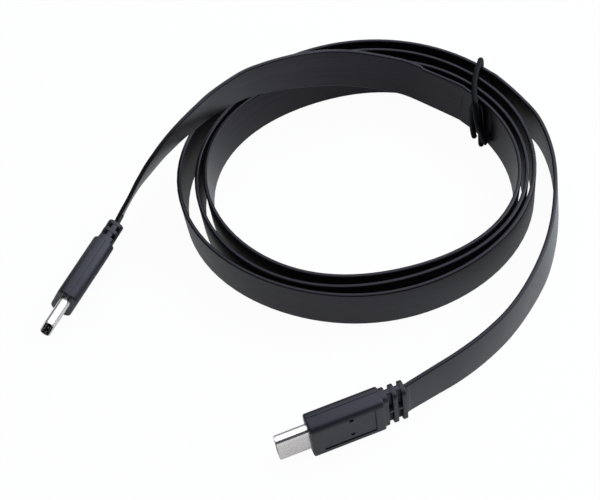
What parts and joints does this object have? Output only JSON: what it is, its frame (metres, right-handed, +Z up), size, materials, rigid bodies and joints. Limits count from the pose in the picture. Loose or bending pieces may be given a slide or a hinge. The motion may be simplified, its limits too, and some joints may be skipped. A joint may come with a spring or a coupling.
{
  "type": "charging cable",
  "caption": "Flat charging cable standing on its edge in a loose oval coil, held by a rubber-covered wire tie, with the same slim reversible plug and ribbed strain relief on each end.",
  "frame": {"origin": "on the ground, under the middle of the cable as it lies coiled", "axes": "+Z up; +X from the far plug's side towards the side where the tie holds the coil; +Y from the near plug towards the back of the coil"},
  "size_m": [0.1168, 0.0987, 0.0251],
  "materials": {
    "cable_jacket": "satin",
    "tie_rubber": "satin",
    "tie_steel": "satin",
    "grip_plastic": "fine spark grain",
    "relief_rubber": "satin",
    "shell_steel": "bright satin nickel",
    "housing_plastic": "satin",
    "contact_gold": "bright",
    "spring_steel": "bright",
    "board_laminate": "gloss",
    "chip_resin": "matt",
    "capacitor_ceramic": "matt",
    "can_steel": "bright",
    "inner_mould_plastic": "matt",
    "wire_insulation": "satin"
  },
  "bodies": {
    "root": {"far_lead": "cable_jacket", "coil": "cable_jacket", "near_lead": "cable_jacket", "tie_jacket": "tie_rubber", "tie_wire": "tie_steel", "near_grip": "grip_plastic", "near_strain_relief": "relief_rubber", "near_shell": "shell_steel", "near_housing": "housing_plastic", "near_upper_contacts": "contact_gold", "near_lower_contacts": "contact_gold", "near_latch_plate": "spring_steel", "near_ground_springs": "spring_steel", "near_board": "board_laminate", "near_marker_chip": "chip_resin", "near_capacitor": "capacitor_ceramic", "near_rear_can": "can_steel", "near_inner_mould": "inner_mould_plastic", "near_wires": "wire_insulation", "far_grip": "grip_plastic", "far_strain_relief": "relief_rubber", "far_shell": "shell_steel", "far_housing": "housing_plastic", "far_upper_contacts": "contact_gold", "far_lower_contacts": "contact_gold", "far_latch_plate": "spring_steel", "far_ground_springs": "spring_steel", "far_board": "board_laminate", "far_rear_can": "can_steel", "far_inner_mould": "inner_mould_plastic", "far_wires": "wire_insulation"}
  },
  "joints": []
}
